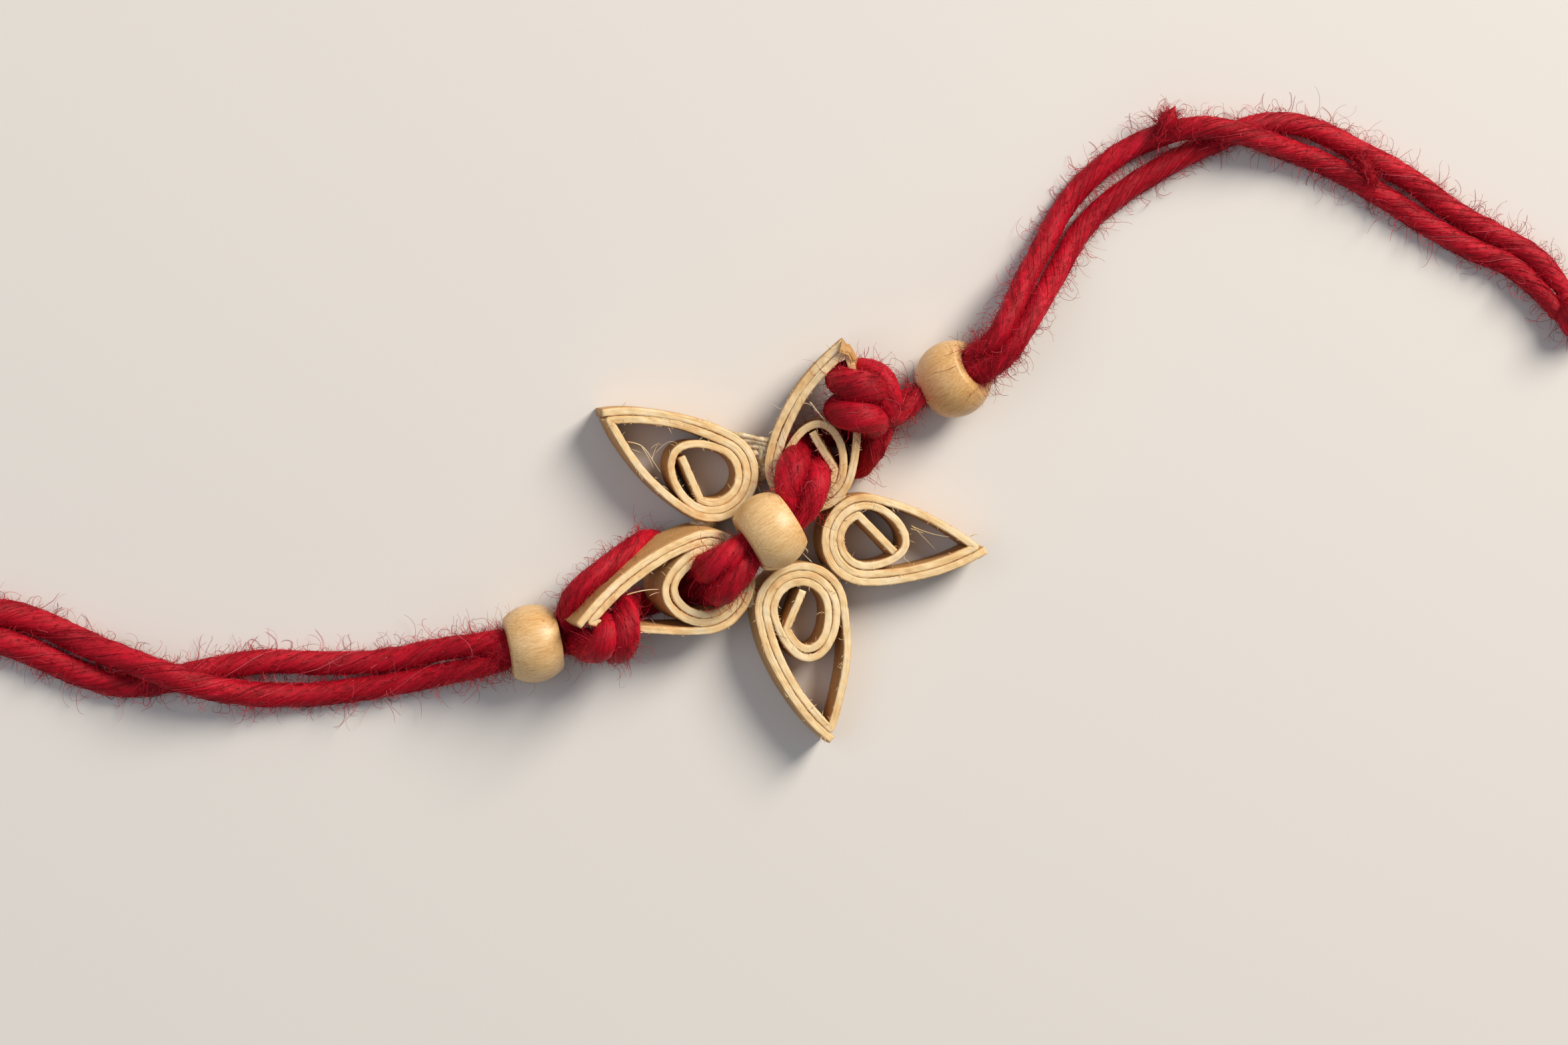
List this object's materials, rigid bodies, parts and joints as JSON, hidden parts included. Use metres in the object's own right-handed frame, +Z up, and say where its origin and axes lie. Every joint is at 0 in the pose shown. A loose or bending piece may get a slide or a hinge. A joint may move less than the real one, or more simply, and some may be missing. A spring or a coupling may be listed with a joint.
{
  "type": "rakhi thread bracelet",
  "caption": "Tie-on wrist band of soft red yarn with a flower of wound wooden strip petals and drilled wooden beads.",
  "frame": {"origin": "on the surface the band lies on, under the middle of the flower and side beads", "axes": "+X along the band from its left side bead to its right one, +Y across it towards the raised petal's tip, +Z up from the surface"},
  "size_m": [0.1941, 0.0652, 0.0117],
  "materials": {
    "strip": "unfinished",
    "bead": "satin varnish",
    "glue": "dried, clear to whitish",
    "yarn": "soft fuzzy yarn"
  },
  "bodies": {
    "root": {"petal_1": "strip", "petal_2": "strip", "petal_3": "strip", "petal_4": "strip", "petal_5": "strip", "glue_1": "glue", "glue_2": "glue", "glue_3": "glue", "glue_4": "glue", "glue_5": "glue", "bead_left": "bead", "bead_centre": "bead", "bead_right": "bead", "yarn_held_a": "yarn", "yarn_held_b": "yarn", "strand_left_a": "yarn", "strand_left_b": "yarn", "strand_right_a": "yarn", "strand_right_b": "yarn", "end_knot_left": "yarn", "end_knot_right": "yarn"}
  },
  "joints": []
}
